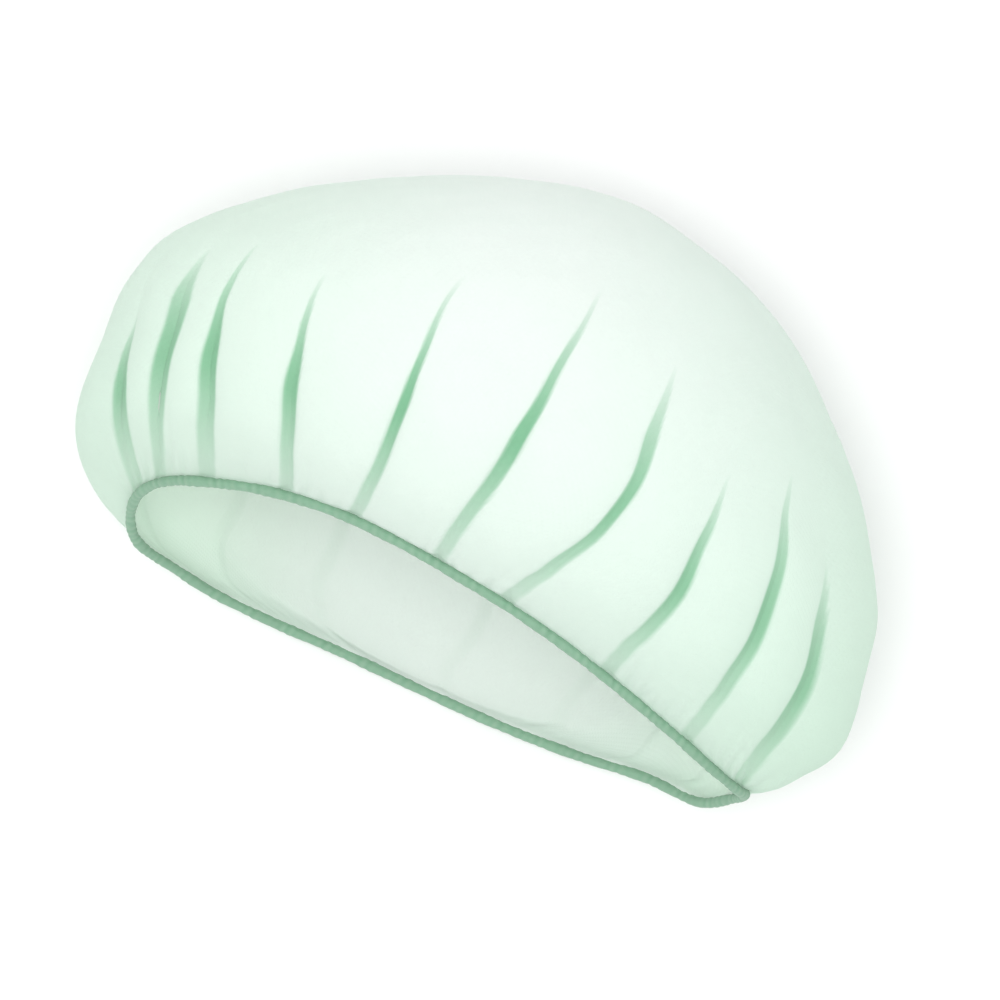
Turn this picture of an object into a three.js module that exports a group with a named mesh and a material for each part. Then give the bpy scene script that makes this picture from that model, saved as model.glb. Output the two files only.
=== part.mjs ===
// Disposable beret cap: one sheet of thin non-woven cloth, gathered round its edge into an elastic hem.
// Millimetres, +Z up. The cap lies on its side, as it comes to rest on a table: the mouth faces -Y, the top of
// the crown +Y, and +X runs from the forehead end of the mouth to the nape end.
// Angles go round the mouth: 0 is the forehead end, 90 the upper lip, 180 the nape end, 270 the lower lip.
import * as THREE from 'three';

// Driving dimensions
const MOUTH_LENGTH = 203;
const MOUTH_HEIGHT = 121;
const FOREHEAD_END = -2.4;
const HEM_DIAMETER = 3.2;
const CLOTH_WALL = 1.2;
const HEM_GAP = 0.35;
const CROWN_TOP = new THREE.Vector3(100, 148.6, 66);

// How far the rim stands towards the crown (+Y) at each angle, so that the mouth bows a little
const RIM = [
  { angle: 0, stand: 7.5 },
  { angle: 15, stand: 16.8 },
  { angle: 37, stand: 23.8 },
  { angle: 64, stand: 30 },
  { angle: 90, stand: 26.6 },
  { angle: 120, stand: 16 },
  { angle: 150, stand: 4.8 },
  { angle: 180, stand: -1.2 },
  { angle: 206, stand: -7.5 },
  { angle: 240, stand: -10.4 },
  { angle: 270, stand: -11.1 },
  { angle: 300, stand: -9.5 },
  { angle: 325, stand: -5.6 },
  { angle: 343, stand: -1 },
];

// Oval sections of the crown. share is how far each lies from the rim to the top of the crown, and the other
// columns are where its four sides stand. The underside dips below the table, and is pressed flat on it.
const SECTIONS = [
  { share: 0.035, forehead: -17, nape: 206, top: 136, under: -3 },
  { share: 0.09, forehead: -24, nape: 214.5, top: 148.5, under: -8 },
  { share: 0.17, forehead: -27, nape: 221, top: 158, under: -11 },
  { share: 0.3, forehead: -28, nape: 220, top: 164.5, under: -12 },
  { share: 0.42, forehead: -28, nape: 216.5, top: 166, under: -12 },
  { share: 0.54, forehead: -24, nape: 208.5, top: 163.5, under: -12 },
  { share: 0.66, forehead: -10, nape: 196, top: 157.5, under: -11 },
  { share: 0.77, forehead: 10.5, nape: 179.5, top: 147, under: -7 },
  { share: 0.87, forehead: 35, nape: 161, top: 132, under: 2 },
  { share: 0.94, forehead: 59, nape: 141, top: 113, under: 17 },
  { share: 0.985, forehead: 80, nape: 119.5, top: 90, under: 40 },
];
const SECTION_SQUARENESS = 2.25;

// Folds that run up from the hem. Each starts at the angle hem, lies at the angle body over the side of the crown
// and ends at the angle tip. reach is the share of the way to the top where it ends, and depth its deepest point.
const FOLDS = [
  { hem: 10, body: 27.5, tip: 25, reach: 0.31, depth: 3.5 },
  { hem: 22, body: 38, tip: 35, reach: 0.49, depth: 4.5 },
  { hem: 38, body: 50, tip: 44.5, reach: 0.52, depth: 4.5 },
  { hem: 60, body: 64, tip: 59.5, reach: 0.5, depth: 4 },
  { hem: 74, body: 77, tip: 77, reach: 0.62, depth: 3.5 },
  { hem: 87, body: 88.5, tip: 94, reach: 0.73, depth: 4 },
  { hem: 97, body: 99.5, tip: 109, reach: 0.65, depth: 3.5 },
  { hem: 117, body: 115.5, tip: 120.5, reach: 0.49, depth: 4.5 },
  { hem: 142, body: 132, tip: 134, reach: 0.57, depth: 4.5 },
  { hem: 166, body: 148.5, tip: 145, reach: 0.44, depth: 4.5 },
  { hem: 196, body: 202, tip: 206, reach: 0.5, depth: 4 },
  { hem: 214, body: 217, tip: 220, reach: 0.6, depth: 4.5 },
  { hem: 232, body: 232, tip: 233, reach: 0.48, depth: 4 },
  { hem: 250, body: 249, tip: 249, reach: 0.62, depth: 4.5 },
  { hem: 267, body: 267, tip: 265, reach: 0.55, depth: 4 },
  { hem: 284, body: 285, tip: 287, reach: 0.65, depth: 4.5 },
  { hem: 302, body: 304, tip: 303, reach: 0.5, depth: 4 },
  { hem: 321, body: 322, tip: 325, reach: 0.58, depth: 4.5 },
  { hem: 341, body: 339, tip: 338, reach: 0.42, depth: 4 },
];
// A fold leaves its angle at the hem within this share of the way up
const HEM_SWEEP = 0.03;
// A fold is deepest at this part of its reach, and at the hem it has this part of its depth
const DEEPEST_AT = 0.35;
const DEPTH_AT_HEM = 0.4;
// A fold's notch is this wide, as a part of the way to the next fold
const NOTCH_WIDTH = 0.38;

// Between two folds the cloth puffs out, from the hem up to where the crown turns smooth
const LOBE_RISE = 2;
const LOBE_STARTS = 0.16;
const LOBE_FADES = { from: 0.2, to: 0.6 };

// The cloth curves down to the table within this height, and more sharply beside the hem
const TABLE_BEND = 5;
const TABLE_BEND_AT_HEM = 0.2;
const TABLE_BEND_FULL_AT = 0.15;

// Fineness of the faceted solids
const COLUMNS_PER_FOLD = [0, 0.16, 0.38, 0.62, 0.84];
const FINE_SECTIONS = 7;
const HEM_STEPS = 96;
const HEM_SIDES = 8;

const CLOTH_COLOUR = '#e9f4ee';
const HEM_COLOUR = '#86b99a';

// 0 below 0, 1 above 1, and a smooth step between
function smooth(value) {
  return THREE.MathUtils.smoothstep(value, 0, 1);
}

// A smooth closed curve through the rim's table
function rimStand(angle) {
  const turn = THREE.MathUtils.euclideanModulo(angle, 360);
  const count = RIM.length;
  const row = (index) => {
    const wrapped = THREE.MathUtils.euclideanModulo(index, count);
    return { angle: RIM[wrapped].angle + 360 * Math.floor(index / count), stand: RIM[wrapped].stand };
  };
  const rise = (index) => (row(index + 1).stand - row(index).stand) / (row(index + 1).angle - row(index).angle);
  const slope = (index) => {
    const before = row(index).angle - row(index - 1).angle;
    const after = row(index + 1).angle - row(index).angle;
    return (rise(index - 1) * after + rise(index) * before) / (before + after);
  };
  const start = RIM.findLastIndex((entry) => entry.angle <= turn);
  const span = row(start + 1).angle - row(start).angle;
  const part = (turn - row(start).angle) / span;
  const rest = 1 - part;
  return row(start).stand * (1 + 2 * part) * rest ** 2
    + row(start + 1).stand * (1 + 2 * rest) * part ** 2
    + slope(start) * span * part * rest ** 2
    - slope(start + 1) * span * rest * part ** 2;
}

// The middle of the elastic hem at an angle round the mouth
function rimPoint(angle) {
  const turn = THREE.MathUtils.degToRad(angle);
  return new THREE.Vector3(
    FOREHEAD_END + MOUTH_LENGTH / 2 * (1 - Math.cos(turn)),
    rimStand(angle),
    HEM_DIAMETER / 2 + MOUTH_HEIGHT / 2 * (1 + Math.sin(turn)),
  );
}

// Cosine or sine of a rounded box, which is fuller than an ellipse
function full(value) {
  return Math.sign(value) * Math.abs(value) ** (2 / SECTION_SQUARENESS);
}

// A point of one section of the crown
function sectionPoint(section, angle) {
  const turn = THREE.MathUtils.degToRad(angle);
  const stand = rimStand(angle);
  return new THREE.Vector3(
    (section.forehead + section.nape) / 2 - (section.nape - section.forehead) / 2 * full(Math.cos(turn)),
    stand + (CROWN_TOP.y - stand) * section.share,
    (section.top + section.under) / 2 + (section.top - section.under) / 2 * full(Math.sin(turn)),
  );
}

// A point where the crown meets one step of its ladder: 0 is the rim, then the sections, then the top. The steps
// before and past the ends only guide the curve.
function ladderPoint(step, angle) {
  const last = SECTIONS.length;
  if (step < 0) {
    return rimPoint(angle).multiplyScalar(1.5).addScaledVector(sectionPoint(SECTIONS[0], angle), -0.5);
  }
  if (step === 0) return rimPoint(angle);
  if (step <= last) return sectionPoint(SECTIONS[step - 1], angle);
  if (step === last + 1) return CROWN_TOP.clone();
  return sectionPoint(SECTIONS[last - 1], angle + 180);
}

// Value at a place between steps 1 and 2 of four steps, on a smooth curve through them
function curveThrough(before, from, to, after, part) {
  return from + 0.5 * part * (to - before
    + part * (2 * before - 5 * from + 4 * to - after
    + part * (3 * (from - to) + after - before)));
}

// A point of the smooth crown, without folds, at a height counted in ladder steps
function crownPoint(height, angle) {
  const step = Math.min(Math.floor(height), SECTIONS.length);
  const guides = [step - 1, step, step + 1, step + 2].map((index) => ladderPoint(index, angle));
  const along = (axis) => curveThrough(...guides.map((point) => point[axis]), height - step);
  return new THREE.Vector3(along('x'), along('y'), along('z'));
}

// Share of the way from the rim to the top, at a height counted in ladder steps
function shareAt(height) {
  const shares = [0, ...SECTIONS.map((section) => section.share), 1];
  const step = Math.min(Math.floor(height), SECTIONS.length);
  return THREE.MathUtils.lerp(shares[step], shares[step + 1], height - step);
}

// Angle at which a fold lies at a share of the way up
function foldAngle(fold, share) {
  const swept = (fold.hem - fold.body) * Math.exp(-share / HEM_SWEEP);
  const leaned = (fold.tip - fold.body) * smooth(share / fold.reach);
  return fold.body + swept + leaned;
}

// Depth of a fold at a share of the way up
function foldDepth(fold, share) {
  const climbed = share / fold.reach;
  const opened = THREE.MathUtils.lerp(DEPTH_AT_HEM, 1, smooth(climbed / DEEPEST_AT));
  const closed = 1 - smooth((climbed - DEEPEST_AT) / (1 - DEEPEST_AT));
  return fold.depth * opened * closed;
}

// How far the cloth stands out from the smooth crown, at a part of the way between two folds
function clothRelief(fold, next, part, share) {
  const notch = (distance) => Math.max(0, 1 - distance / NOTCH_WIDTH) ** 2;
  const faded = smooth((share - LOBE_FADES.from) / (LOBE_FADES.to - LOBE_FADES.from));
  const lobe = LOBE_RISE * 4 * part * (1 - part) * smooth(share / LOBE_STARTS) * (1 - faded);
  return lobe - foldDepth(fold, share) * notch(part) - foldDepth(next, share) * notch(1 - part);
}

// Height of the middle of the cloth above the table, once what dips below it is pressed flat
function pressedHeight(height, share) {
  const lowest = CLOTH_WALL / 2;
  const bend = THREE.MathUtils.lerp(TABLE_BEND_AT_HEM, TABLE_BEND, smooth(share / TABLE_BEND_FULL_AT));
  const above = height - lowest;
  if (above <= -bend) return lowest;
  if (above >= bend) return height;
  return lowest + (above + bend) ** 2 / (4 * bend);
}

// Outward normals of a grid of points that is closed round its columns
function gridNormals(grid) {
  const columns = grid[0].length;
  return grid.map((points, row) => points.map((point, column) => {
    const above = grid[Math.min(row + 1, grid.length - 1)][column];
    const below = grid[Math.max(row - 1, 0)][column];
    const onward = points[(column + 1) % columns];
    const back = points[(column + columns - 1) % columns];
    const up = above.clone().sub(below);
    return onward.clone().sub(back).cross(up).normalize();
  }));
}

// The middle of the cloth as rows of points from the hem to just below the top of the crown
function clothGrid() {
  const columns = FOLDS.flatMap((fold, index) => {
    const turn = index + 1 === FOLDS.length ? 360 : 0;
    const first = FOLDS[(index + 1) % FOLDS.length];
    const next = { ...first, hem: first.hem + turn, body: first.body + turn, tip: first.tip + turn };
    return COLUMNS_PER_FOLD.map((part) => ({ fold, next, part }));
  });
  const heights = [];
  for (let height = 0.5; height <= SECTIONS.length; height += height < FINE_SECTIONS ? 0.5 : 1) {
    heights.push(height);
  }
  const angleAt = ({ fold, next, part }, share) =>
    THREE.MathUtils.lerp(foldAngle(fold, share), foldAngle(next, share), part);
  const smoothRows = heights.map((height) => {
    const share = shareAt(height);
    return columns.map((column) => crownPoint(height, angleAt(column, share)));
  });
  const normals = gridNormals(smoothRows);
  const rows = smoothRows.map((points, row) => points.map((point, index) => {
    const { fold, next, part } = columns[index];
    const share = shareAt(heights[row]);
    point.addScaledVector(normals[row][index], clothRelief(fold, next, part, share));
    point.z = pressedHeight(point.z, share);
    return point;
  }));
  const edge = columns.map((column, index) => {
    const angle = angleAt(column, 0);
    const rim = rimPoint(angle);
    const along = rimPoint(angle + 1).sub(rimPoint(angle - 1)).normalize();
    const away = rows[0][index].clone().sub(rim).projectOnPlane(along).normalize();
    return rim.addScaledVector(away, HEM_DIAMETER / 2 + HEM_GAP);
  });
  return [edge, ...rows];
}

// Triangles of the strip between two closed rows of vertex numbers
function strip(lower, upper) {
  const count = lower.length;
  return lower.flatMap((corner, index) => {
    const onward = (index + 1) % count;
    return [corner, lower[onward], upper[onward], corner, upper[onward], upper[index]];
  });
}

// The gathered crown: an outer and an inner wall joined along the edge beside the hem
function makeCrownGeometry() {
  const middle = clothGrid();
  const normals = gridNormals(middle);
  const positions = [];
  const addPoint = (point) => {
    positions.push(point.x, point.y, point.z);
    return positions.length / 3 - 1;
  };
  const makeWall = (offset) => middle.map((points, row) => points.map((point, column) =>
    addPoint(point.clone().addScaledVector(normals[row][column], offset))));
  const outer = makeWall(CLOTH_WALL / 2);
  const inner = makeWall(-CLOTH_WALL / 2);
  const half = new THREE.Vector3(0, CLOTH_WALL / 2, 0);
  const outerTop = addPoint(CROWN_TOP.clone().add(half));
  const innerTop = addPoint(CROWN_TOP.clone().sub(half));
  const triangles = strip(inner[0], outer[0]);
  for (let row = 0; row + 1 < middle.length; row += 1) {
    triangles.push(...strip(outer[row], outer[row + 1]));
    triangles.push(...strip(inner[row + 1], inner[row]));
  }
  const last = middle.length - 1;
  outer[last].forEach((corner, index, ring) => {
    triangles.push(corner, ring[(index + 1) % ring.length], outerTop);
  });
  inner[last].forEach((corner, index, ring) => {
    triangles.push(ring[(index + 1) % ring.length], corner, innerTop);
  });
  const geometry = new THREE.BufferGeometry();
  geometry.setAttribute('position', new THREE.Float32BufferAttribute(positions, 3));
  geometry.setIndex(triangles);
  geometry.computeVertexNormals();
  return geometry;
}

class RimCurve extends THREE.Curve {
  getPoint(part) {
    return rimPoint(360 * part);
  }
}

// The elastic hem: a closed round ring along the rim
function makeHemGeometry() {
  return new THREE.TubeGeometry(new RimCurve(), HEM_STEPS, HEM_DIAMETER / 2, HEM_SIDES, true);
}

function makeMesh(name, geometry, colour) {
  const material = new THREE.MeshStandardMaterial({ color: colour, roughness: 0.85, metalness: 0 });
  const mesh = new THREE.Mesh(geometry, material);
  mesh.name = name;
  return mesh;
}

const cap = new THREE.Group();
cap.add(makeMesh('crown', makeCrownGeometry(), CLOTH_COLOUR));
cap.add(makeMesh('elastic_hem', makeHemGeometry(), HEM_COLOUR));

// The origin is the middle of the cap's footprint, on the table
const bounds = new THREE.Box3().setFromObject(cap);
const centre = bounds.getCenter(new THREE.Vector3());
cap.position.set(-centre.x, -centre.y, -bounds.min.z);

export default cap;
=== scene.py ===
# Looks of a disposable beret cap, a gathered non-woven crown with a ruched elastic hem, on a pale table.
# Shapes are worked out in millimetres, as the solids are, and placed in metres on the frame.
import math

import bpy
import numpy as np
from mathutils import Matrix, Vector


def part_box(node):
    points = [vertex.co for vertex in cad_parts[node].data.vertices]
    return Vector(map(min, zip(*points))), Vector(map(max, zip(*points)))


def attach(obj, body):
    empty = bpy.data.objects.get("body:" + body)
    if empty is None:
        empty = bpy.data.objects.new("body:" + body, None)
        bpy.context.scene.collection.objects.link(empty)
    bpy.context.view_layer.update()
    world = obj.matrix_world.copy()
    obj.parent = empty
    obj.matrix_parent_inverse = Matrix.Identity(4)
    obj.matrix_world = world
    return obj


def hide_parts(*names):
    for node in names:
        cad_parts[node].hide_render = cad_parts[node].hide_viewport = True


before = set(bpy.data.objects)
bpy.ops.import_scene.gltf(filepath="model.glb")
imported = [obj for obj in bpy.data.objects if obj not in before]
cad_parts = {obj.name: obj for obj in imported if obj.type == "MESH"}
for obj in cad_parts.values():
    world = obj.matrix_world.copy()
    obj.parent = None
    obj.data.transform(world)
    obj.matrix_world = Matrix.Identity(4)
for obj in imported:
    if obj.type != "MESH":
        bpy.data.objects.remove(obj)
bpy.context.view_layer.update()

MM = 0.001

# Driving sizes of the cap. X runs from the forehead end of the mouth to the nape end, Y from the mouth
# to the top of the crown, and Z up from the table. Angles are degrees round the mouth, from the forehead
# end over the side that faces up.
MOUTH_LENGTH = 203.0
MOUTH_HEIGHT = 121.0
FOREHEAD_END = -2.4
HEM_DIAMETER = 3.2
CLOTH_WALL = 0.5
CROWN_TOP = np.array([100.0, 148.6, 66.0])

# Wall of the solid crown, whose outside the cloth follows
SOLID_WALL = 1.2

# How far the rim stands towards the top of the crown, at each angle round the mouth: (angle, stand)
RIM = np.array([
    (0, 7.8), (15, 15.5), (25, 19.7), (37, 23.7), (50, 27.9), (64, 30.2),
    (90, 26.8), (107, 21.6), (120, 16.1), (135, 9.7), (150, 4.2), (165, 1),
    (180, 0), (193, -2.8), (206, -7.8), (224, -7.9), (240, -10.2), (255, -11.2),
    (270, -10.7), (285, -9.7), (300, -9.3), (312, -8.3), (325, -5.7), (343, -1.8),
], float)

# Sections of the crown, rounded boxes: (share of the way to the top, forehead, nape, top, under)
SECTIONS = np.array([
    (0.035, -13.5, 207, 136, -3),
    (0.09, -23, 212.5, 148.5, -8),
    (0.17, -26.5, 218.5, 158, -11),
    (0.3, -27, 217, 164.5, -12),
    (0.42, -28, 214.5, 166, -12),
    (0.54, -23, 206, 163.5, -12),
    (0.66, -7.5, 193.5, 157.5, -11),
    (0.77, 12.5, 177.5, 147, -7),
    (0.87, 38, 160, 132, 2),
    (0.94, 60.5, 140.5, 113, 17),
    (0.985, 81.5, 118, 90, 40),
], float)
SECTION_SQUARENESS = 2.25

# Heights at which the folds' angles are given, in steps: 0 is the rim and 1 the first section
PATH_HEIGHTS = np.array([0.0, 0.5, 1.0, 1.5, 2.2, 2.9, 3.7, 4.6, 5.7, 7.3])

# Angles of each fold at those heights. The first ten lie on the side that faces up.
FOLD_PATHS = np.array([
    (5.7, 12.6, 18.5, 22.4, 24.9, 24.4, 21.5, 20, 20, 20),
    (18.5, 25.1, 30.7, 34.1, 36.3, 36, 34.3, 34, 33.6, 33.6),
    (34.8, 39.6, 43.8, 46.2, 47.5, 46.9, 44.5, 43.5, 43.2, 39.6),
    (53.6, 57.6, 60.9, 62.4, 62.8, 61.9, 60.1, 59.4, 58.6, 57),
    (67.5, 71, 73.8, 75.4, 76.4, 76.5, 76.6, 77, 77.3, 75),
    (84, 85.8, 87, 87.9, 88.5, 88.7, 89.8, 90.7, 92.2, 93.2),
    (97.2, 96.7, 96.6, 97.5, 99, 99.9, 103.1, 105.5, 107.1, 109.3),
    (118.2, 116.3, 114.8, 114.9, 115.4, 115.5, 117.3, 118.2, 120.6, 128.5),
    (139.8, 136.9, 134.5, 133.7, 132.8, 131.3, 132.7, 133.1, 133.6, 139.3),
    (164.5, 158.8, 154, 151.7, 149.4, 147, 147.8, 145.8, 144.8, 144.8),
    (196, 199, 201, 202, 204, 204, 205, 205, 206, 206),
    (214, 216, 216, 217, 218, 218, 219, 219, 220, 220),
    (232, 232, 232, 232, 232, 232, 233, 233, 233, 233),
    (250, 250, 249, 249, 249, 249, 249, 249, 249, 249),
    (267, 267, 267, 267, 266, 266, 266, 265, 265, 265),
    (284, 284, 285, 285, 286, 286, 286, 287, 287, 287),
    (302, 303, 304, 304, 304, 303, 303, 303, 303, 303),
    (321, 322, 322, 322, 323, 323, 324, 324, 325, 325),
    (341, 340, 340, 339, 338, 338, 338, 338, 338, 338),
])

# Form of each fold: (reach as a share of the way up, depth, width low, width at the middle, width high up,
# depth of colour, which is doubled cloth and painted shade in the crease)
FOLDS = np.array([
    (0.32, 1.4, 10, 9.6, 6.2, 0.88),
    (0.5, 1.4, 6, 8.2, 8.4, 0.9),
    (0.54, 2.8, 6.4, 6.2, 2.9, 0.95),
    (0.52, 3.6, 4.8, 5.2, 2.6, 0.95),
    (0.64, 3.5, 4.4, 3.8, 2.3, 1),
    (0.75, 3.8, 4.6, 4.8, 2.9, 1),
    (0.67, 3.4, 4.8, 3.9, 4.4, 0.92),
    (0.51, 3.8, 5, 4.8, 3.4, 0.9),
    (0.59, 3.2, 5.4, 5.5, 4.5, 0.88),
    (0.46, 2.4, 8.2, 8.3, 7.4, 0.85),
    (0.45, 2.6, 4.4, 4.2, 3, 0.5),
    (0.5, 2.6, 4.2, 4.6, 3.2, 0.45),
    (0.42, 2.2, 4, 4.2, 2.8, 0.4),
    (0.5, 2.4, 4.2, 4.4, 3, 0.4),
    (0.46, 2.2, 4, 4.2, 3.4, 0.4),
    (0.52, 2.4, 4.4, 4.4, 3, 0.4),
    (0.44, 1.6, 4, 4.2, 3.2, 0.4),
    (0.5, 1.6, 4.2, 4.6, 3.2, 0.4),
    (0.42, 1.4, 4.4, 4.2, 3, 0.4),
])
FOLD_REACHES, FOLD_DEPTHS, WIDTHS_LOW, WIDTHS_MIDDLE, WIDTHS_HIGH, FOLD_TONES = FOLDS.T

# How a fold changes on its way up, in shares of its reach
DEEPEST_AT = 0.35
DEPTH_AT_HEM = 0.4
WIDTHS_AT = (0.1, 0.45, 0.75)
WIDTH_AT_TIP = 0.8
TONE_AT_HEM = 0.24
TONE_FULL_AT = 0.45
TONE_FADES = (0.5, 1.02)
TONE_FADING = 1.7

# A fold's broad valley: its share of the depth, and in parts of the way to the next fold its width
# and the rounding of its bottom
VALLEY_SHARE = 0.35
VALLEY_WIDTH = 0.38
VALLEY_ROUNDING = 0.08

# The narrow trough at its bottom: its share of the depth, its width as a part of the fold's, its least
# width, and the fold's half width from which it is as deep as it gets
TROUGH_SHARE = 0.26
TROUGH_WIDTH = 1.05
TROUGH_LEAST = 0.2
TROUGH_FULL_FROM = 1.2

# The fold's colour, doubled cloth and painted shade, is full over a part of its half width, and fades over
# the next part and a little more
TONE_WIDTH = 0.8
TONE_EDGE = 0.4
TONE_BLUR = 0.1

# Share of that colour, doubled cloth and painted shade, that shows on the inside
TONE_INSIDE = 0.05

# How far the lobes between the folds puff out
LOBE_RISE = 2.0
LOBE_STARTS = 0.16
LOBE_FADES = (0.2, 0.6)

# The cloth leaves the hem on the side away from the mouth, so that the hem stays in sight. Its edge
# reaches into the hem, and from there it swings out to the solid's outside.
STAND_OFF = 1.5
STAND_OFF_FADES = 0.05
EDGE_INSIDE_HEM = 0.8
WALL_FULL_AT = 0.03

# Small gathers that the elastic draws into the cloth beside the hem. They are shallower on the side that
# lies down, and PUCKER_CHANGE says how quickly they change between the two sides.
PUCKERS = 90
PUCKER_DEPTH = 0.6
PUCKER_DEPTH_BELOW = 0.1
PUCKER_CHANGE = 1.5
PUCKER_STARTS = 0.015
PUCKER_REACH = (0.05, 0.17)
PUCKER_STRENGTH = 0.65

# Slow waves that make them uneven round the mouth: (waves all round, size, start)
PUCKER_WANDER = ((5, 1.6, 0.0), (13, 1.0, 1.0))
PUCKER_REACH_WAVES = ((23, 0.5, 2.0),)
PUCKER_STRENGTH_WAVES = ((9, 0.35, 0.5),)

# Soft unevenness of the thin cloth, slight above and stronger low down, where the cloth settles on itself
RIPPLE = 0.35
RIPPLE_LOW_DOWN = 1.3
RIPPLE_HEIGHTS = (15.0, 60.0)
RIPPLE_STARTS = (0.06, 0.3)

# Its ripples: (length, lean of their direction). The lean also sets how steeply they rise, and how steeply
# the longer waves do that bend them.
RIPPLES = ((64.0, 0.4), (41.0, 2.3), (27.0, 4.2), (18.0, 6.1))
RIPPLE_RISE = (2.3, 1.7)
RIPPLE_BEND = 2.0
RIPPLE_BEND_WAVE = 0.6

# How roundly the cloth turns onto the table, less so beside the hem
TABLE_BEND = 5.0
TABLE_BEND_AT_HEM = 0.2
TABLE_BEND_FULL_AT = 0.15

# Painted shade: the cloth is palest round one place outside, (along, towards the top), and one place along
# the inside, and is painted greener and darker away from them
PALE_MIDDLE = (75.0, 120.0)
PALE_REACH = 15.0
GREEN_AT = 220.0
PALE_MIDDLE_INSIDE = 110.0
PALE_REACH_INSIDE = 35.0
GREEN_AT_INSIDE = 120.0

# Fineness of the cloth's mesh, which is crowded beside the folds and beside the hem
COLUMNS_PER_FOLD = 36
COLUMN_CROWDING = 0.5
HEM_ROWS = 22
HEM_ROWS_REACH = 2.4
HEM_ROW_CROWDING = 1.3
SIDE_ROWS = 50
PAST_LAST_SECTION = 0.6

# The ruched hem
HEM_STEPS = 1600
HEM_SIDES = 18
HEM_RADIUS = 1.52
HEM_SWELL = ((17, 0.05, 0.0), (41, 0.04, 1.0))

# Its ruches: (waves all round, size, start, slant, turn of the slant, wander)
RUCHES = (
    (173, 0.4, 0.0, 0.9, 0.0, 0.7),
    (131, 0.35, 0.0, 1.3, -math.pi / 2, 0.0),
    (211, 0.25, 2.0, 1.1, 1.0, 0.0),
)
RUCHE_DEPTH = 0.12
RUCHE_WANDER = ((31, 1.0, 0.0),)

# Colours, linear
CLOTH = (0.925, 0.96, 0.94)
CLOTH_THICK = (0.88, 0.945, 0.91)
# Painted shade: greener and darker towards the crown's edges
CLOTH_PAINTED_FALLOFF_SHADE = (0.70, 0.87, 0.755)
# Folds: greener where the cloth doubles over, and darker as painted shade in the creases
FOLD_LAYERS_AND_SHADE = (0.29, 0.585, 0.38)
# The inside is painted paler than the outside, as painted light in the cap's shaded hollow
INSIDE_PAINTED_LIGHT = (0.955, 0.985, 0.965)
# Painted shade on the inside, greener and darker towards its ends
INSIDE_PAINTED_FALLOFF_SHADE = (0.895, 0.98, 0.905)
HEM_COLOUR = (0.25, 0.40, 0.29)
# Painted shade in the grooves between the ruches
HEM_GROOVE_SHADE = (0.16, 0.32, 0.21)
HEM_PATCH = (0.30, 0.54, 0.37)
TABLE_COLOUR = (0.90, 0.90, 0.90)

# How much of its colour each layer of a finish adds
CLOUD_SHARE = 0.5
INSIDE_SHARE = 0.9
GROOVE_SHARE = 0.75
PATCH_SHARE = 0.25

# Share of the light that the thin cloth lets through
LIGHT_THROUGH = 0.42

# The cloth's bonds: pits on a slanted grid, this far apart in metres, and where their edges begin and end
BOND_SPACING = 0.0018
BOND_WAVE = math.pi * math.sqrt(2) / BOND_SPACING
BOND_EDGE = (0.6, 0.1)

# Noises of the finishes: (scale, detail, roughness)
FIBRES = (1600.0, 2.0, 0.65)
CLOUDS = (70.0, 3.0, 0.6)
HEM_FIBRES = (1400.0, 4.0, 0.65)
HEM_PATCHES = (160.0, 3.0, 0.5)

# Relief of the finishes, in shares and in metres
BOND_HEIGHT = 0.6
FIBRE_HEIGHT = 0.5
CLOTH_BUMP = 0.28
HEM_BUMP = 0.3
BUMP_DISTANCE = 0.0003

# What is the same all over each surface
CLOTH_FINISH = {"Roughness": 0.78, "Sheen Weight": 0.12, "Sheen Roughness": 0.5, "Specular IOR Level": 0.3}
HEM_FINISH = {"Roughness": 0.8, "Sheen Weight": 0.15, "Specular IOR Level": 0.3}
TABLE_FINISH = {"Roughness": 0.9, "Specular IOR Level": 0.2}

# The table, in metres
TABLE_HALF = 6.0
TABLE_GAP = 0.0002

# The view: the camera stands over the cap and is turned so that the forehead end points up to the left.
# The picture is VIEW_WIDTH across at the height VIEW_PLANE.
CAMERA_HEIGHT = 2500.0
CAMERA_OVER = (98.3, 52.5)
CAMERA_ROLL = 23.19
SENSOR = 36.0
VIEW_WIDTH = 300.0
VIEW_PLANE = 60.0

# A large soft light over the cap, in metres and watts, and the light of the room
KEY_PLACE = (-0.12, -0.2, 3.0)
KEY_SIZE = 1.3
KEY_POWER = 39.5
ROOM_LIGHT = 0.89


def smooth(value):
    """0 below 0, 1 above 1, and a smooth step between."""
    value = np.clip(value, 0.0, 1.0)
    return value * value * (3.0 - 2.0 * value)


def ramp(value, start, end):
    """A smooth step from 0 at the start to 1 at the end."""
    return smooth((value - start) / (end - start))


def blend(start, end, part):
    return start + (end - start) * part


def smooth_curve(at, values, where):
    """A smooth curve through values at the places at, along the last axis."""
    span = np.diff(at)
    rise = np.diff(values) / span
    slope = (rise[..., :-1] * span[1:] + rise[..., 1:] * span[:-1]) / (span[:-1] + span[1:])
    slope = np.concatenate([rise[..., :1], slope, rise[..., -1:]], -1)
    start = np.clip(np.searchsorted(at, where, side="right") - 1, 0, len(span) - 1)
    part = (where - at[start]) / span[start]
    rest = 1.0 - part
    return (
        values[..., start] * (1 + 2 * part) * rest**2
        + values[..., start + 1] * (1 + 2 * rest) * part**2
        + slope[..., start] * span[start] * part * rest**2
        - slope[..., start + 1] * span[start] * rest * part**2
    )


def waves_round(around, waves):
    """A sum of waves that close on themselves. around is the part of the way round the mouth."""
    return sum(size * np.sin(2 * math.pi * count * around + start) for count, size, start in waves)


def lengths_round(points):
    """The way to each point of a closed row from its first one, and at the end the way all round."""
    steps = np.linalg.norm(np.roll(points, -1, 0) - points, axis=1)
    return np.concatenate([[0.0], np.cumsum(steps)])


def unit(vectors):
    return vectors / np.linalg.norm(vectors, axis=-1, keepdims=True)


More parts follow.
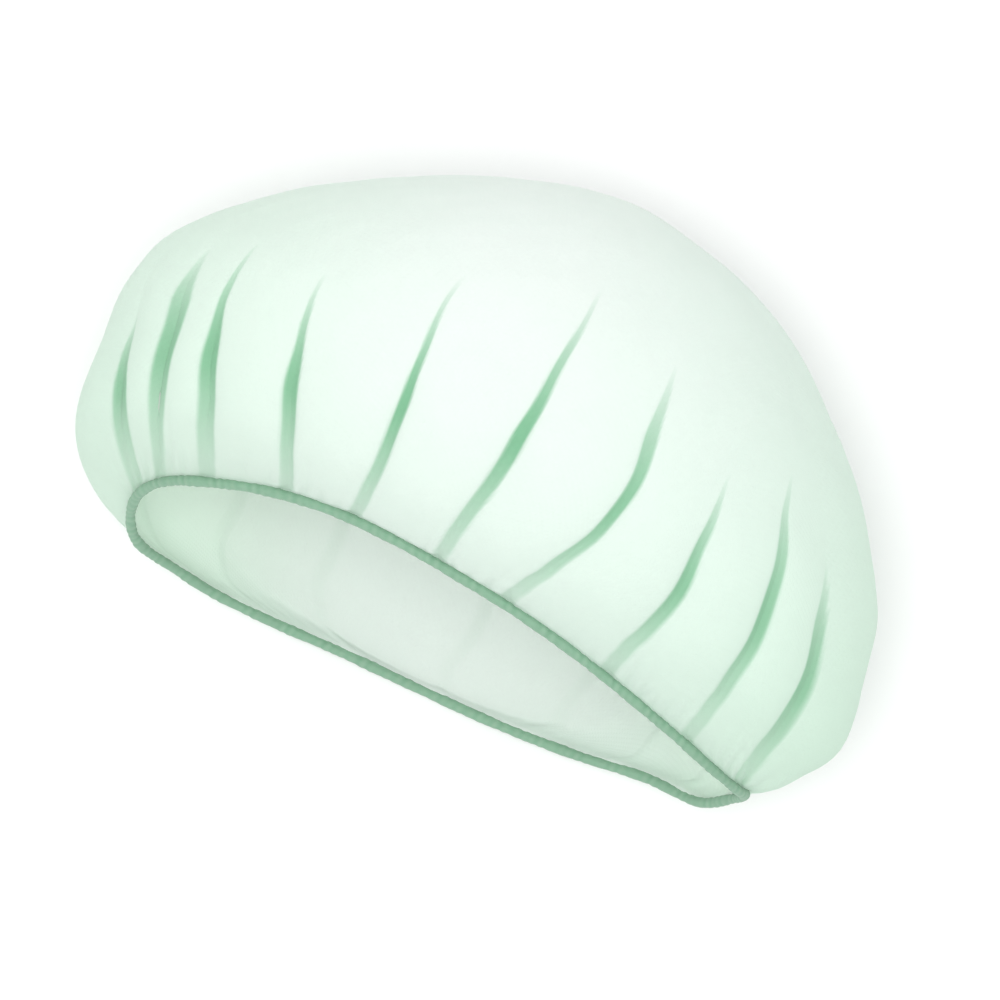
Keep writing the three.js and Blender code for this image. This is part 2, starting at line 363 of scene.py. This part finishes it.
def rim_stand(angle):
    """A smooth closed curve through the rim's table."""
    at, stand = np.concatenate([RIM[-3:] - (360, 0), RIM, RIM[:3] + (360, 0)]).T
    return smooth_curve(at, stand, np.mod(angle, 360.0))


def rim_point(angle):
    """The middle of the hem at an angle round the mouth."""
    turn = np.radians(angle)
    x = FOREHEAD_END + MOUTH_LENGTH / 2 * (1 - np.cos(turn))
    z = HEM_DIAMETER / 2 + MOUTH_HEIGHT / 2 * (1 + np.sin(turn))
    return np.stack([x, rim_stand(angle), z], -1)


def full(value):
    """Cosine or sine of a rounded box, which is fuller than an ellipse."""
    return np.sign(value) * np.abs(value) ** (2 / SECTION_SQUARENESS)


def section_point(section, angle):
    """A point of one section of the crown."""
    share, forehead, nape, top, under = section
    turn = np.radians(angle)
    x = (forehead + nape) / 2 - (nape - forehead) / 2 * full(np.cos(turn))
    y = blend(rim_stand(angle), CROWN_TOP[1], share)
    z = (top + under) / 2 + (top - under) / 2 * full(np.sin(turn))
    return np.stack([x, y, z], -1)


def crown_row(height, angle):
    """Points of the smooth crown at a height in steps, from the rim over the sections to the top."""
    rim = rim_point(angle)
    first = section_point(SECTIONS[0], angle)
    before_rim = 1.5 * rim - 0.5 * first
    past_top = section_point(SECTIONS[-1], angle + 180.0)
    ladder = [before_rim, rim]
    ladder += [section_point(section, angle) for section in SECTIONS]
    ladder += [np.broadcast_to(CROWN_TOP, rim.shape), past_top]
    step = min(int(height), len(SECTIONS))
    part = height - step
    before, start, end, after = ladder[step:step + 4]
    return start + 0.5 * part * (
        end - before
        + part * (2 * before - 5 * start + 4 * end - after + part * (3 * (start - end) + after - before))
    )


def top_point():
    """The outside of the cloth at the top of the crown."""
    return CROWN_TOP + (0.0, SOLID_WALL / 2, 0.0)


def share_at(height):
    """Share of the way from the rim to the top, at a height counted in steps."""
    shares = np.concatenate([[0.0], SECTIONS[:, 0], [1.0]])
    return float(np.interp(height, np.arange(len(shares)), shares))


def row_heights():
    """Heights of the mesh's rows, closer together beside the hem."""
    beside_hem = HEM_ROWS_REACH * (np.arange(1, HEM_ROWS + 1) / HEM_ROWS) ** HEM_ROW_CROWDING
    side = np.linspace(HEM_ROWS_REACH, len(SECTIONS) + PAST_LAST_SECTION, SIDE_ROWS + 1)[1:]
    return np.concatenate([beside_hem, side])


def column_parts():
    """Parts of the way from one fold to the next, closer together beside the folds."""
    even = np.arange(COLUMNS_PER_FOLD) / COLUMNS_PER_FOLD
    return even - COLUMN_CROWDING * np.sin(2 * math.pi * even) / (2 * math.pi)


def row_angles(height):
    """Angles of a row's points, which follow the folds. The height is in steps."""
    angles = smooth_curve(PATH_HEIGHTS, FOLD_PATHS, min(height, PATH_HEIGHTS[-1]))
    following = np.roll(angles, -1)
    following[-1] += 360.0
    return blend(angles[:, None], following[:, None], column_parts()).ravel()


def fold_depths(share):
    """Depths of the folds, which are deepest a third of their way up."""
    climbed = share / FOLD_REACHES
    opened = blend(DEPTH_AT_HEM, 1.0, smooth(climbed / DEEPEST_AT))
    return FOLD_DEPTHS * opened * (1 - ramp(climbed, DEEPEST_AT, 1.0))


def fold_widths(share):
    """Half widths of the folds, which are pointed at their tips."""
    climbed = share / FOLD_REACHES
    low_at, middle_at, high_at = WIDTHS_AT
    upward = blend(WIDTHS_LOW, WIDTHS_MIDDLE, ramp(climbed, low_at, middle_at))
    upward = blend(upward, WIDTHS_HIGH, ramp(climbed, middle_at, high_at))
    closing = np.clip((climbed - high_at) / (1 - high_at), 0.0, 1.0)
    return np.where(climbed < 1.0, blend(upward, WIDTH_AT_TIP, closing), 0.0) / 2


def fold_tones(share):
    """Depth of the folds' colour, doubled cloth and painted shade: faded beside the hem, full half way up
    and faint at the tip.
    """
    climbed = share / FOLD_REACHES
    fades, gone = TONE_FADES
    opened = blend(TONE_AT_HEM, 1.0, np.clip(climbed / TONE_FULL_AT, 0.0, 1.0))
    closed = 1 - np.clip((climbed - fades) / (gone - fades), 0.0, 1.0) ** TONE_FADING
    return FOLD_TONES * opened * closed


def fold_relief(points, share):
    """How far one row of points is moved in or out by the folds, and how deep its fold colour, doubled
    cloth and painted shade, is.
    """
    parts = column_parts()
    count, each = len(FOLDS), len(parts)
    part = np.tile(parts, count)
    lobe = LOBE_RISE * 4 * part * (1 - part) * smooth(share / LOBE_STARTS)
    relief = lobe * (1 - ramp(share, *LOBE_FADES))
    tones = np.zeros(len(points))
    folds = np.arange(count) * each
    forms = np.stack([fold_depths(share), fold_widths(share), fold_tones(share)])
    # Each point lies between two folds, the one before it and the one after it
    for away, turn in ((part, 0), (1 - part, -1)):
        bottoms = np.repeat(np.roll(folds, turn), each)
        distance = np.linalg.norm(points - points[bottoms], axis=1)
        depth, width, tone = np.repeat(np.roll(forms, turn, 1), each, 1)
        valley = np.maximum(0.0, 1 - np.hypot(away, VALLEY_ROUNDING) / VALLEY_WIDTH) ** 2
        trough = np.exp(-((distance / np.maximum(TROUGH_WIDTH * width, TROUGH_LEAST)) ** 4))
        trough *= smooth(width / TROUGH_FULL_FROM)
        relief -= depth * (VALLEY_SHARE * valley + TROUGH_SHARE * trough)
        faded = smooth((distance - TONE_WIDTH * width) / (TONE_EDGE * width + TONE_BLUR))
        tones = np.maximum(tones, tone * (1 - faded))
    return relief, tones


def pucker_relief(around, share):
    """Small gathers beside the hem. around is the part of the way round the mouth."""
    wave = np.sin(2 * math.pi * PUCKERS * around + waves_round(around, PUCKER_WANDER))
    reach = blend(*PUCKER_REACH, 0.5 + waves_round(around, PUCKER_REACH_WAVES))
    strength = PUCKER_STRENGTH + waves_round(around, PUCKER_STRENGTH_WAVES)
    upward = smooth(0.5 + PUCKER_CHANGE * np.sin(2 * math.pi * around))
    depth = blend(PUCKER_DEPTH_BELOW, PUCKER_DEPTH, upward)
    return depth * wave * strength * smooth(share / PUCKER_STARTS) * (1 - smooth(share / reach))


def ripple_relief(points, share):
    """The soft unevenness of one row of points, a smooth pattern in space."""
    total = np.zeros(len(points))
    rise, rise_across = RIPPLE_RISE
    for index, (length, lean) in enumerate(RIPPLES):
        direction = np.array([math.cos(lean), math.sin(lean), math.sin(rise * lean)])
        across = np.array([-math.sin(lean), math.cos(lean), math.cos(rise_across * lean)])
        wave = 2 * math.pi / length
        bend = RIPPLE_BEND * np.sin(RIPPLE_BEND_WAVE * wave * points @ across + index)
        total += np.sin(wave * points @ direction + bend)
    size = blend(RIPPLE_LOW_DOWN, RIPPLE, ramp(points[:, 2], *RIPPLE_HEIGHTS))
    return size * total / len(RIPPLES) * ramp(share, *RIPPLE_STARTS)


def pressed_height(height, share):
    """Height above the table of the middle of the solid's wall, once what dips below is pressed flat."""
    lowest = SOLID_WALL / 2
    bend = blend(TABLE_BEND_AT_HEM, TABLE_BEND, smooth(share / TABLE_BEND_FULL_AT))
    above = height - lowest
    curved = lowest + (above + bend) ** 2 / (4 * bend)
    return np.where(above <= -bend, lowest, np.where(above >= bend, height, curved))


def grid_normals(grid):
    """Outward normals of rows of points that are closed round their columns."""
    up = np.empty_like(grid)
    up[1:-1] = grid[2:] - grid[:-2]
    up[0] = grid[1] - grid[0]
    up[-1] = grid[-1] - grid[-2]
    onward = np.roll(grid, -1, 1) - np.roll(grid, 1, 1)
    return unit(np.cross(onward, up))


def hem_edge(angles, rim, first_row):
    """The cloth's edge, where it goes into the hem."""
    along = unit(rim_point(angles + 0.5) - rim_point(angles - 0.5))
    away = first_row - rim
    away -= along * np.sum(away * along, axis=1, keepdims=True)
    return rim + unit(away) * (HEM_DIAMETER / 2 - EDGE_INSIDE_HEM)


def crown_surface():
    """Points on the cloth's outside, how deep their fold colour (doubled cloth and painted shade) is, and
    where round the mouth they start.
    """
    heights = row_heights()
    shares = np.array([share_at(height) for height in heights])
    middle = np.array([crown_row(height, row_angles(height)) for height in heights])
    normals = grid_normals(middle)
    rim_angles = row_angles(0.0)
    rim = rim_point(rim_angles)
    lengths = lengths_round(rim)
    around = lengths[:-1] / lengths[-1]
    outer = np.empty_like(middle)
    tones = np.empty(middle.shape[:2])
    for row, share in enumerate(shares):
        relief, tones[row] = fold_relief(middle[row], share)
        relief += pucker_relief(around, share)
        relief += ripple_relief(middle[row], share)
        outer[row] = middle[row] + normals[row] * relief[:, None]
        outer[row, :, 1] += STAND_OFF * (1 - smooth(share / STAND_OFF_FADES))
        outer[row, :, 2] = pressed_height(outer[row, :, 2], share)
    wall = blend(CLOTH_WALL / 2, SOLID_WALL / 2, smooth(shares / WALL_FULL_AT))
    outer += grid_normals(outer) * wall[:, None, None]
    outer = np.concatenate([hem_edge(rim_angles, rim, outer[0])[None], outer])
    outer[..., 2] = np.maximum(outer[..., 2], 0.0)
    return outer, np.concatenate([tones[:1], tones]), around


def crown_inside(outer):
    """The inside of the cloth, a wall's thickness from its outside."""
    inner = outer - grid_normals(outer) * CLOTH_WALL
    inner[..., 2] = np.maximum(inner[..., 2], CLOTH_WALL / 2)
    return inner


def disc_places(outer, around):
    """Where each point lies on the flat disc that the cloth was cut from."""
    steps = np.linalg.norm(np.diff(outer, axis=0), axis=-1)
    climb = np.concatenate([np.zeros((1, outer.shape[1])), np.cumsum(steps, 0)])
    total = climb[-1] + np.linalg.norm(outer[-1] - top_point(), axis=-1)
    radii = total - climb
    turns = 2 * math.pi * around
    return np.stack([radii * np.cos(turns), radii * np.sin(turns)], -1).reshape(-1, 2)


def painted_shade_falloff(outer):
    """How much painted shade each point gets outside and inside: greener and darker away from the palest
    places.
    """
    away = np.linalg.norm(outer[..., :2] - PALE_MIDDLE, axis=-1)
    outside = np.clip((away - PALE_REACH) / (GREEN_AT - PALE_REACH), 0.0, 1.0)
    along = np.abs(outer[..., 0] - PALE_MIDDLE_INSIDE)
    return outside, ramp(along, PALE_REACH_INSIDE, GREEN_AT_INSIDE)


def placed(points):
    """Points in metres in the frame, given in the cap's own millimetres."""
    low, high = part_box("elastic_hem")
    rim = rim_point(np.arange(0.0, 360.0, 0.5))
    shift = np.array([
        (low.x + high.x) / 2 / MM - (rim[:, 0].min() + rim[:, 0].max()) / 2,
        (low.y + high.y) / 2 / MM - (rim[:, 1].min() + rim[:, 1].max()) / 2,
        0.0,
    ])
    return (points + shift) * MM


def make_piece(name, points, faces, material, node):
    """A piece of the cap that stands for one of its solids."""
    mesh = bpy.data.meshes.new(name)
    mesh.from_pydata(placed(points).tolist(), [], faces)
    mesh.shade_smooth()
    mesh.materials.append(material)
    piece = bpy.data.objects.new(name, mesh)
    bpy.context.scene.collection.objects.link(piece)
    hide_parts(node)
    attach(piece, "root")
    return piece


def ring_faces(lower, upper):
    """Quads between two closed rows of vertex numbers."""
    corners = np.stack([lower, np.roll(lower, -1), np.roll(upper, -1), upper], 1)
    return corners.tolist()


def fan_faces(row, top):
    """Triangles from a closed row of vertex numbers to one vertex."""
    return np.stack([row, np.roll(row, -1), np.full(len(row), top)], 1).tolist()


def shell_faces(rows, columns):
    """Faces of an outside and an inside, joined at the rim, with one vertex each at the top."""
    outside = np.arange(rows * columns).reshape(rows, columns)
    inside = outside + rows * columns
    outside_top = 2 * rows * columns
    faces = ring_faces(inside[0], outside[0])
    for row in range(rows - 1):
        faces += ring_faces(outside[row], outside[row + 1])
        faces += ring_faces(inside[row + 1], inside[row])
    faces += fan_faces(outside[-1], outside_top)
    faces += fan_faces(inside[-1][::-1], outside_top + 1)
    return faces


def set_float_attribute(mesh, name, *values):
    """One number for each vertex, from parts that are joined in the order of the vertices."""
    attribute = mesh.attributes.new(name, "FLOAT", "POINT")
    numbers = np.concatenate([np.ravel(part) for part in values])
    attribute.data.foreach_set("value", numbers.astype(np.float32))


def set_disc_map(mesh, flat_points):
    """A map of the mesh on the flat disc, in metres."""
    layer = mesh.uv_layers.new(name="cut_disc")
    corners = np.empty(len(mesh.loops), np.int32)
    mesh.loops.foreach_get("vertex_index", corners)
    layer.data.foreach_set("uv", (flat_points[corners] * MM).astype(np.float32).ravel())


def make_crown():
    """The gathered cloth, one sheet with an outside and an inside."""
    outer, tones, around = crown_surface()
    inner = crown_inside(outer)
    tops = [top_point(), top_point() - (0.0, CLOTH_WALL, 0.0)]
    points = np.concatenate([outer.reshape(-1, 3), inner.reshape(-1, 3), tops])
    faces = shell_faces(*outer.shape[:2])
    piece = make_piece("crown_cloth", points, faces, cloth_material(), "crown")
    flat = disc_places(outer, around)
    set_disc_map(piece.data, np.concatenate([flat, flat, np.zeros((2, 2))]))
    # The folds' colour, doubled cloth and painted shade; painted shade away from the palest places; and
    # which side is the inside
    set_float_attribute(piece.data, "fold_layers_and_shade", tones, TONE_INSIDE * tones, [0, 0])
    set_float_attribute(piece.data, "painted_shade_falloff", *painted_shade_falloff(outer), [0, 0])
    set_float_attribute(piece.data, "inside", np.zeros_like(tones), np.ones_like(tones), [0, 1])


def hem_middle():
    """Points along the middle of the hem, evenly spaced."""
    fine = np.arange(0.0, 360.0, 0.1)
    lengths = lengths_round(rim_point(fine))
    wanted = np.arange(HEM_STEPS) / HEM_STEPS * lengths[-1]
    return rim_point(np.interp(wanted, lengths, np.append(fine, 360.0)))


def hem_ruches(around, side):
    """How far the ruches stand out at a part of the way round and a turn about the hem, from -1 to 1."""
    wandered = waves_round(around, RUCHE_WANDER)
    total = np.zeros((HEM_STEPS, HEM_SIDES))
    for count, size, start, slant, turn, wander in RUCHES:
        leaning = start + slant * np.sin(side + turn) + wander * wandered
        total += size * np.sin(2 * math.pi * count * around + leaning)
    return total


def make_hem():
    """The cloth that is drawn round the elastic, a closed ring along the edge of the mouth."""
    middle = hem_middle()
    along = unit(np.roll(middle, -1, 0) - np.roll(middle, 1, 0))
    outward = unit(np.cross(along, (0.0, 1.0, 0.0)))
    across = np.cross(outward, along)
    around = np.arange(HEM_STEPS)[:, None] / HEM_STEPS
    side = 2 * math.pi * np.arange(HEM_SIDES)[None, :] / HEM_SIDES
    ruches = hem_ruches(around, side)
    radius = HEM_RADIUS * (1 + waves_round(around, HEM_SWELL)) + RUCHE_DEPTH * ruches
    points = (
        middle[:, None]
        + outward[:, None] * (radius * np.cos(side))[..., None]
        + across[:, None] * (radius * np.sin(side))[..., None]
    )
    points[..., 2] = np.maximum(points[..., 2], 0.0)
    numbers = np.arange(HEM_STEPS * HEM_SIDES).reshape(HEM_STEPS, HEM_SIDES)
    faces = []
    for step in range(HEM_STEPS):
        faces += ring_faces(numbers[(step + 1) % HEM_STEPS], numbers[step])
    piece = make_piece("ruched_hem", points.reshape(-1, 3), faces, hem_material(), "elastic_hem")
    # Painted shade mask: 1 where the ruches sink in, 0 where they stand out
    set_float_attribute(piece.data, "groove_painted_shade", 0.5 - 0.5 * ruches)


class Nodes:
    """A material's node tree, with short ways to add and join its nodes."""

    def __init__(self, name):
        self.material = bpy.data.materials.new(name)
        self.material.use_nodes = True
        self.tree = self.material.node_tree
        self.tree.nodes.clear()
        self.output = self.add("ShaderNodeOutputMaterial")

    def add(self, kind, **settings):
        node = self.tree.nodes.new(kind)
        for key, value in settings.items():
            setattr(node, key, value)
        return node

    def put(self, value, socket):
        """Join another node's output to a socket, or set the socket's own number or colour."""
        if isinstance(value, bpy.types.NodeSocket):
            self.tree.links.new(value, socket)
        elif isinstance(value, tuple):
            socket.default_value = (*value, 1.0)
        else:
            socket.default_value = value

    def attribute(self, name):
        return self.add("ShaderNodeAttribute", attribute_name=name).outputs["Fac"]

    def math(self, operation, *values):
        node = self.add("ShaderNodeMath", operation=operation)
        for socket, value in zip(node.inputs, values):
            self.put(value, socket)
        return node.outputs[0]

    def mix(self, factor, first, second):
        node = self.add("ShaderNodeMix", data_type="RGBA")
        colours = [socket for socket in node.inputs if socket.type == "RGBA"]
        self.put(factor, node.inputs["Factor"])
        self.put(first, colours[0])
        self.put(second, colours[1])
        return next(socket for socket in node.outputs if socket.type == "RGBA")

    def noise(self, look, place, flat=False):
        node = self.add("ShaderNodeTexNoise", noise_dimensions="2D" if flat else "3D")
        for name, value in zip(("Scale", "Detail", "Roughness"), look):
            node.inputs[name].default_value = value
        self.put(place, node.inputs["Vector"])
        return node.outputs["Fac"]

    def bump(self, height, strength):
        node = self.add("ShaderNodeBump")
        node.inputs["Strength"].default_value = strength
        node.inputs["Distance"].default_value = BUMP_DISTANCE
        self.put(height, node.inputs["Height"])
        return node.outputs["Normal"]

    def shader(self, finish, colour, normal=None):
        node = self.add("ShaderNodeBsdfPrincipled")
        for name, value in finish.items():
            node.inputs[name].default_value = value
        self.put(colour, node.inputs["Base Color"])
        if normal is not None:
            self.put(normal, node.inputs["Normal"])
        return node.outputs["BSDF"]

    def see_through(self, surface, colour, normal):
        """A surface that also passes a share of the light on to its other side."""
        through = self.add("ShaderNodeBsdfTranslucent")
        self.put(colour, through.inputs["Color"])
        self.put(normal, through.inputs["Normal"])
        both = self.add("ShaderNodeMixShader")
        both.inputs["Fac"].default_value = LIGHT_THROUGH
        self.put(surface, both.inputs[1])
        self.put(through.outputs["BSDF"], both.inputs[2])
        return both.outputs["Shader"]

    def finished(self, surface):
        self.put(surface, self.output.inputs["Surface"])
        return self.material


def bond_pits(nodes, disc):
    """0 in the cloth's point bonds and 1 between them."""
    along = nodes.add("ShaderNodeSeparateXYZ")
    nodes.put(disc, along.inputs["Vector"])
    waves = []
    for axis in ("X", "Y"):
        turns = nodes.math("MULTIPLY", along.outputs[axis], BOND_WAVE)
        waves.append(nodes.math("COSINE", turns))
    pit = nodes.add("ShaderNodeMapRange", interpolation_type="SMOOTHSTEP")
    pit.inputs["From Min"].default_value = BOND_EDGE[0]
    pit.inputs["From Max"].default_value = BOND_EDGE[1]
    nodes.put(nodes.math("MULTIPLY", *waves), pit.inputs["Value"])
    return pit.outputs["Result"]


def cloth_material():
    """Thin point-bonded non-woven: pale, matt and a little see-through. Its folds are greener as doubled
    cloth and darker as painted shade, it has painted shade away from its palest places, and its inside is
    painted paler as painted light.
    """
    nodes = Nodes("nonwoven_cloth")
    disc = nodes.add("ShaderNodeUVMap", uv_map="cut_disc").outputs["UV"]
    inside = nodes.attribute("inside")
    clouds = nodes.noise(CLOUDS, disc, flat=True)
    cloudy = nodes.mix(nodes.math("MULTIPLY", clouds, CLOUD_SHARE), CLOTH, CLOTH_THICK)
    # Painted light: the inside is mixed towards a paler colour
    sided = nodes.mix(nodes.math("MULTIPLY", inside, INSIDE_SHARE), cloudy, INSIDE_PAINTED_LIGHT)
    # Painted shade: greener and darker away from the palest places
    close = nodes.mix(inside, CLOTH_PAINTED_FALLOFF_SHADE, INSIDE_PAINTED_FALLOFF_SHADE)
    drawn = nodes.mix(nodes.attribute("painted_shade_falloff"), sided, close)
    # Folds: greener as doubled cloth and darker as painted shade in the creases
    colour = nodes.mix(nodes.attribute("fold_layers_and_shade"), drawn, FOLD_LAYERS_AND_SHADE)
    bonds = nodes.math("MULTIPLY", bond_pits(nodes, disc), BOND_HEIGHT)
    fibres = nodes.math("MULTIPLY", nodes.noise(FIBRES, disc, flat=True), FIBRE_HEIGHT)
    normal = nodes.bump(nodes.math("ADD", bonds, fibres), CLOTH_BUMP)
    surface = nodes.shader(CLOTH_FINISH, colour, normal)
    return nodes.finished(nodes.see_through(surface, colour, normal))


def hem_material():
    """The same cloth drawn tight round the elastic: thick and green, and with painted shade darker in its
    grooves.
    """
    nodes = Nodes("ruched_hem_cloth")
    place = nodes.add("ShaderNodeTexCoord").outputs["Object"]
    # Painted shade: the hem is darker in the recesses between the ruches
    grooves = nodes.math("MULTIPLY", nodes.attribute("groove_painted_shade"), GROOVE_SHARE)
    patches = nodes.math("MULTIPLY", nodes.noise(HEM_PATCHES, place), PATCH_SHARE)
    colour = nodes.mix(patches, nodes.mix(grooves, HEM_COLOUR, HEM_GROOVE_SHADE), HEM_PATCH)
    normal = nodes.bump(nodes.noise(HEM_FIBRES, place), HEM_BUMP)
    return nodes.finished(nodes.shader(HEM_FINISH, colour, normal))


def table_material():
    nodes = Nodes("pale_table")
    return nodes.finished(nodes.shader(TABLE_FINISH, TABLE_COLOUR))


def make_table():
    half = TABLE_HALF
    mesh = bpy.data.meshes.new("table_top")
    corners = [(-half, -half, 0.0), (half, -half, 0.0), (half, half, 0.0), (-half, half, 0.0)]
    mesh.from_pydata(corners, [], [(0, 1, 2, 3)])
    mesh.materials.append(table_material())
    table = bpy.data.objects.new("table_top", mesh)
    table.location.z = -TABLE_GAP
    bpy.context.scene.collection.objects.link(table)


def make_camera():
    camera = bpy.data.cameras.new("camera")
    camera.sensor_width = SENSOR
    camera.lens = SENSOR * (CAMERA_HEIGHT - VIEW_PLANE) / VIEW_WIDTH
    holder = bpy.data.objects.new("camera", camera)
    bpy.context.scene.collection.objects.link(holder)
    holder.location = placed(np.array([*CAMERA_OVER, CAMERA_HEIGHT])).tolist()
    holder.rotation_euler = (0.0, 0.0, math.radians(CAMERA_ROLL))
    bpy.context.scene.camera = holder


def make_key_light():
    """A soft light that points at the middle of the crown."""
    light = bpy.data.lights.new("key", "AREA")
    light.shape = "DISK"
    light.size = KEY_SIZE
    light.energy = KEY_POWER
    holder = bpy.data.objects.new("key", light)
    bpy.context.scene.collection.objects.link(holder)
    holder.location = KEY_PLACE
    low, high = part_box("crown")
    away = holder.location - (low + high) / 2
    holder.rotation_euler = away.to_track_quat("Z", "Y").to_euler()


def make_room_light():
    world = bpy.data.worlds.new("soft_room")
    world.use_nodes = True
    background = world.node_tree.nodes["Background"]
    background.inputs["Color"].default_value = (1.0, 1.0, 1.0, 1.0)
    background.inputs["Strength"].default_value = ROOM_LIGHT
    bpy.context.scene.world = world
    bpy.context.scene.view_settings.view_transform = "Standard"


make_camera()
make_crown()
make_hem()
make_table()
make_key_light()
make_room_light()
